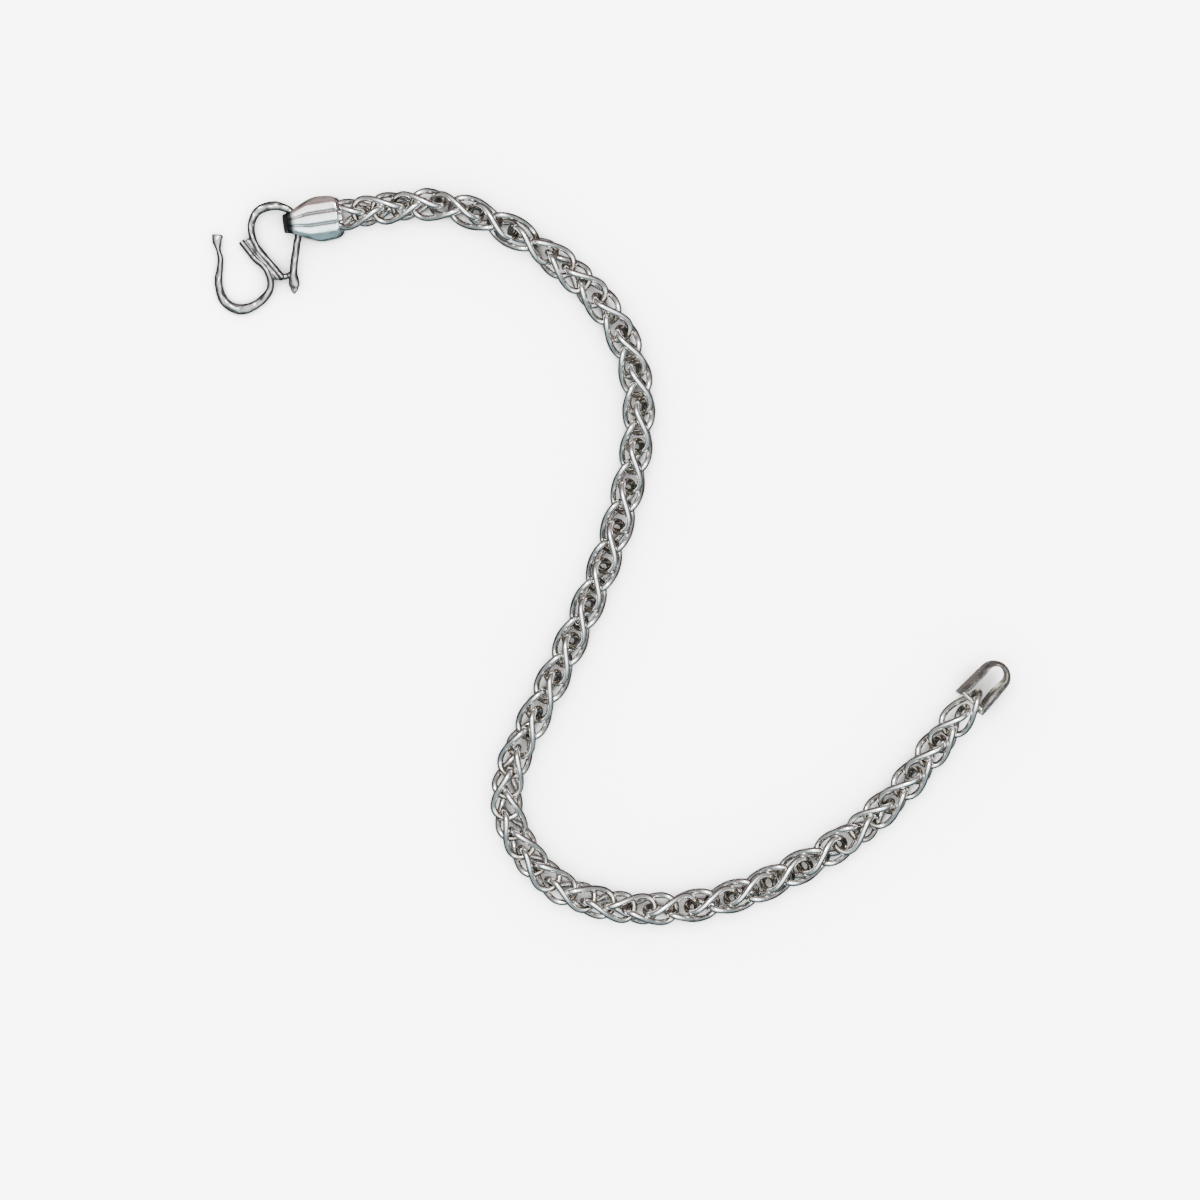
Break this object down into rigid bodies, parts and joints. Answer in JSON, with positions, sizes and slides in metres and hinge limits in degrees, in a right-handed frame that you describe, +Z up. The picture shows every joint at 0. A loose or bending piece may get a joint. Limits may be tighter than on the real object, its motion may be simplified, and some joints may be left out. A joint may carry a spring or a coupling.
{
  "type": "spiga chain bracelet with s-hook clasp",
  "caption": "Silver wheat chain bracelet lying open in an S curve, with folded end caps and a soldered S-hook clasp.",
  "frame": {"origin": "centre of the bounding box, on the surface that the bracelet lies on", "axes": "+Z up from the surface; +X from the S-hook's side to the ring end's side; +Y from the curve's lower bend to its upper bend"},
  "size_m": [0.1042, 0.0966, 0.006],
  "materials": {
    "strand_a_silver": "bright polished silver",
    "strand_b_silver": "bright polished silver",
    "hook_cap_silver": "bright polished silver sheet",
    "ring_cap_silver": "bright polished silver sheet",
    "s_hook_silver": "hammered and polished silver wire"
  },
  "bodies": {
    "bracelet": {"strand_a": "strand_a_silver", "strand_b": "strand_b_silver", "hook_cap": "hook_cap_silver", "ring_cap": "ring_cap_silver"},
    "hook": {"s_hook": "s_hook_silver"}
  },
  "joints": [
    {"name": "hook_swing", "type": "hinge", "parent": "bracelet", "child": "hook", "pos_m": [-0.04134, 0.04366, 0.00158], "axis": [-0.3271, 0.945, 0], "range_deg": [0, 100]}
  ]
}
